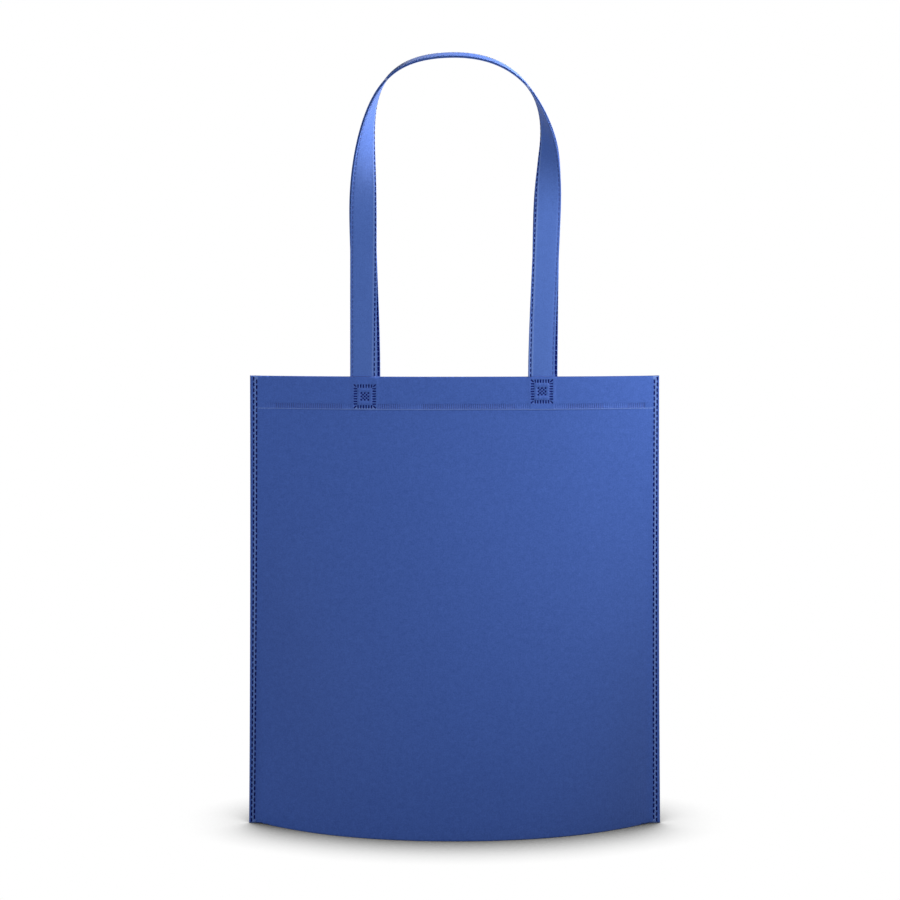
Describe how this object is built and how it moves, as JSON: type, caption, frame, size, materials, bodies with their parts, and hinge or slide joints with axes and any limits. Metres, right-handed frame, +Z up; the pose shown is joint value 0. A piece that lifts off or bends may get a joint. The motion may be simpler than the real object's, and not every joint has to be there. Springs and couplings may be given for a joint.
{
  "type": "non-woven carrier bag",
  "caption": "Non-woven cloth carrier bag standing on its opened bottom gusset, with welded side seams, a folded hem and two long flat handles that twist at the shoulders.",
  "frame": {"origin": "middle of the base, on the surface that the bag stands on", "axes": "+Z up towards the handles, -Y out of the front panel, +X to the right seen from the front"},
  "size_m": [0.3516, 0.102, 0.6963],
  "materials": {
    "bag_cloth": "matte spunbond non-woven polypropylene with a fine point-bond emboss",
    "handle_cloth": "matte folded non-woven polypropylene strip, welded near both edges"
  },
  "bodies": {
    "root": {"bag_body": "bag_cloth", "front_handle": "handle_cloth", "back_handle": "handle_cloth"}
  },
  "joints": []
}
